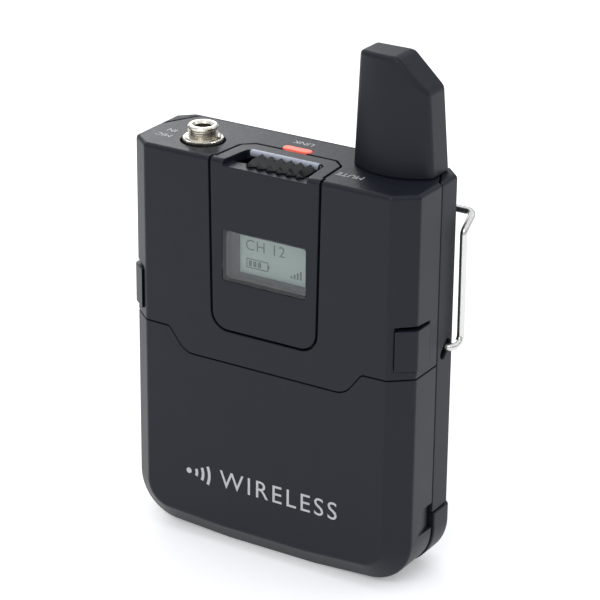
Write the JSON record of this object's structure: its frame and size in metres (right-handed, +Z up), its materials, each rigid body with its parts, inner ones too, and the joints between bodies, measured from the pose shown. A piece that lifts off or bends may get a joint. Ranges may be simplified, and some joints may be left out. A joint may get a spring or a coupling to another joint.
{
  "type": "wireless bodypack transmitter",
  "caption": "Pocket-sized radio transmitter pack worn on a belt, with a screw-lock microphone jack, blade antenna, small display, mute slider, wire clip and slide-off battery pack.",
  "frame": {"origin": "bottom centre of the whole object, with the belt clip counted in its depth", "axes": "+Z up towards the antenna, -Y is the front with the display, +X to the right of someone who looks at the front"},
  "size_m": [0.0682, 0.026, 0.106],
  "materials": {
    "shell_front": "fine satin moulding grain, anthracite",
    "shell_rear": "moulded with a fine spark-eroded grain",
    "panel": "satin anthracite",
    "shell_battery": "satin anthracite with a pad print",
    "shell_shoe": "fine grain",
    "window": "clear acrylic, polished",
    "inner_plastic": "black glass-filled plastic",
    "bezel_grey": "printed grey frame",
    "display": "reflective liquid crystal display",
    "light_guide": "white light guide",
    "slider": "black, lightly polished",
    "board": "green solder mask",
    "switch_metal": "tinned can",
    "lens_red": "translucent red light pipe",
    "led_package": "white package",
    "nickel": "nickel plated, turned thread",
    "nickel_nut": "nickel plated, knurled",
    "contact_gold": "gold plated",
    "shield_tin": "tin plated",
    "antenna": "matt moulded rubber",
    "radiator_brass": "stamped strip",
    "latch": "satin anthracite",
    "spring_steel": "drawn wire",
    "clip_wire": "bright drawn spring wire",
    "label": "silver grey film, blank",
    "screw_black": "black zinc",
    "battery_plastic": "black, moulded",
    "cell_foil": "laminated foil"
  },
  "bodies": {
    "case": {"antenna_blade": "antenna", "antenna_contact": "contact_gold", "antenna_radiator": "radiator_brass", "battery_connector": "inner_plastic", "belt_clip_arm_left": "clip_wire", "belt_clip_arm_right": "clip_wire", "case_screws": "screw_black", "connector_blades": "contact_gold", "display_backlight": "light_guide", "display_bezel": "bezel_grey", "display_glass": "display", "display_holder": "inner_plastic", "display_panel": "panel", "display_window": "window", "front_shell": "shell_front", "inner_frame": "inner_plastic", "jack_barrel": "nickel", "jack_body": "inner_plastic", "jack_contacts": "contact_gold", "jack_nut": "nickel_nut", "latch_spring_left": "spring_steel", "latch_spring_right": "spring_steel", "light_lens": "lens_red", "main_board": "board", "mute_switch": "switch_metal", "radio_shield": "shield_tin", "rear_shell": "shell_rear", "status_light": "led_package", "switch_board": "board", "type_label": "label"},
    "battery_pack": {"battery_front": "shell_battery", "battery_shoe": "shell_shoe", "cell_case": "battery_plastic", "cell_case_lid": "battery_plastic", "battery_cell": "cell_foil", "battery_board": "board", "battery_pads": "contact_gold"},
    "latch_left": {"latch_button_left": "latch"},
    "latch_right": {"latch_button_right": "latch"},
    "mute_control": {"mute_slider": "slider", "switch_lever": "inner_plastic"},
    "clip_tongue": {"belt_clip_tongue": "clip_wire"}
  },
  "joints": [
    {"name": "battery_slide", "type": "slide", "parent": "case", "child": "battery_pack", "axis": [0, 0, -1], "range_m": [0, 0.045]},
    {"name": "latch_left_press", "type": "hinge", "parent": "case", "child": "latch_left", "pos_m": [-0.0293, -0.01103, 0.05175], "axis": [0, 0, -1], "range_deg": [0, 7], "stiffness_Nm_per_rad": 0.15, "springref_deg": -5.73, "deforming": ["latch_spring_left"]},
    {"name": "latch_right_press", "type": "hinge", "parent": "case", "child": "latch_right", "pos_m": [0.0293, -0.01103, 0.05175], "axis": [0, 0, 1], "range_deg": [0, 7], "stiffness_Nm_per_rad": 0.15, "springref_deg": -5.73, "deforming": ["latch_spring_right"]},
    {"name": "mute_slide", "type": "slide", "parent": "case", "child": "mute_control", "axis": [-1, 0, 0], "range_m": [0, 0.003]},
    {"name": "clip_flex", "type": "hinge", "parent": "case", "child": "clip_tongue", "pos_m": [0, 0.00942, 0.074], "axis": [1, 0, 0], "range_deg": [0, 12], "stiffness_Nm_per_rad": 0.3, "springref_deg": -2.86}
  ]
}
